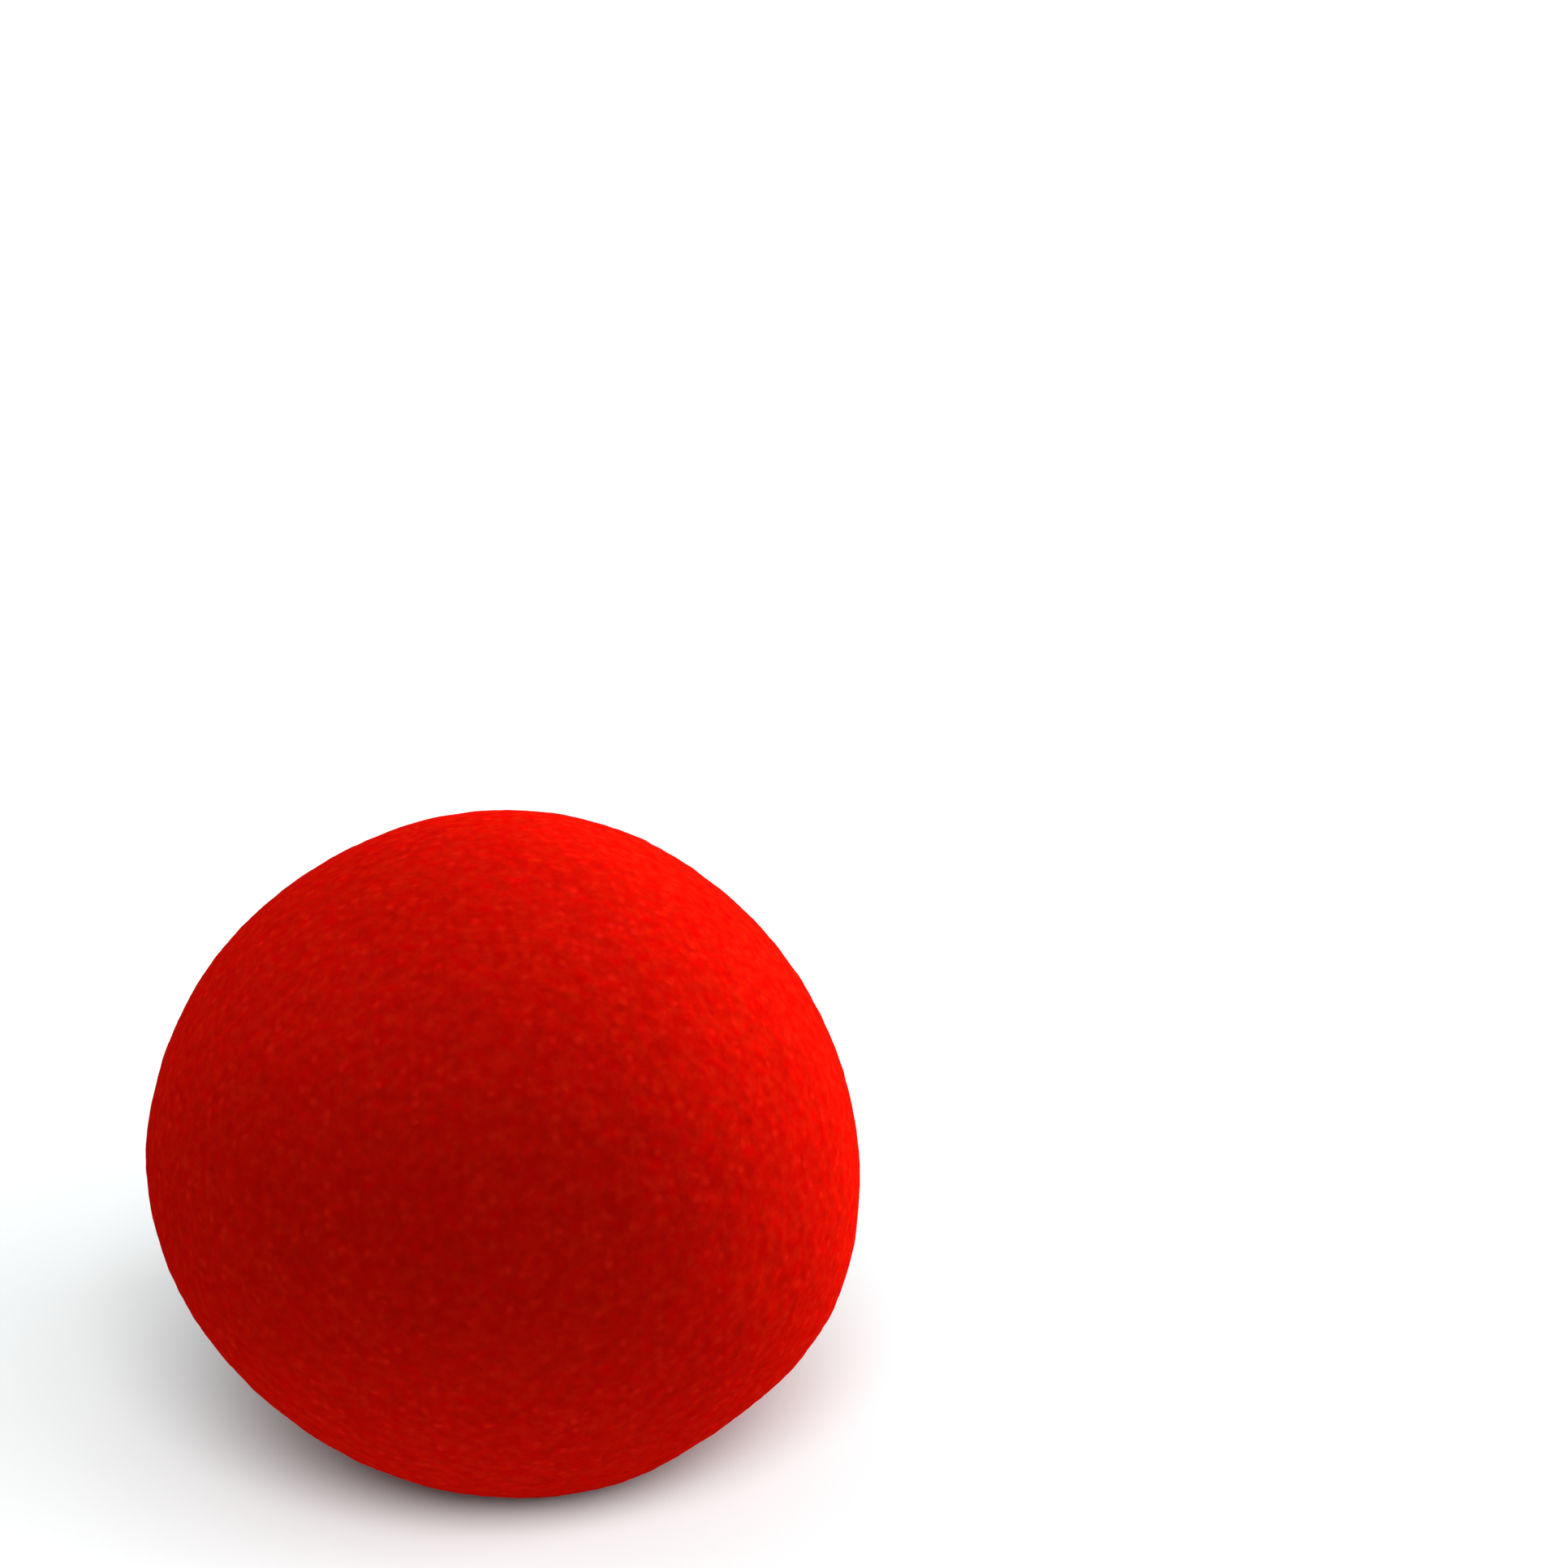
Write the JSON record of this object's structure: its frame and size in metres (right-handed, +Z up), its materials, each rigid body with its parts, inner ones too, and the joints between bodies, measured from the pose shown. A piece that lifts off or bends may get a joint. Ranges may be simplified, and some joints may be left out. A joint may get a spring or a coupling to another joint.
{
  "type": "clown nose",
  "caption": "Soft red foam ball, slightly squashed and uneven, with a slit pocket in its back that grips the wearer's nose.",
  "frame": {"origin": "middle of the flattened patch that the ball rests on, straight below the ball's middle", "axes": "+Z up, +Y out of the pocket in the back towards the wearer's face, -Y the front of the nose"},
  "size_m": [0.05, 0.0478, 0.0462],
  "materials": {
    "foam": "matt soft open-cell foam"
  },
  "bodies": {
    "root": {"foam_nose": "foam"}
  },
  "joints": []
}
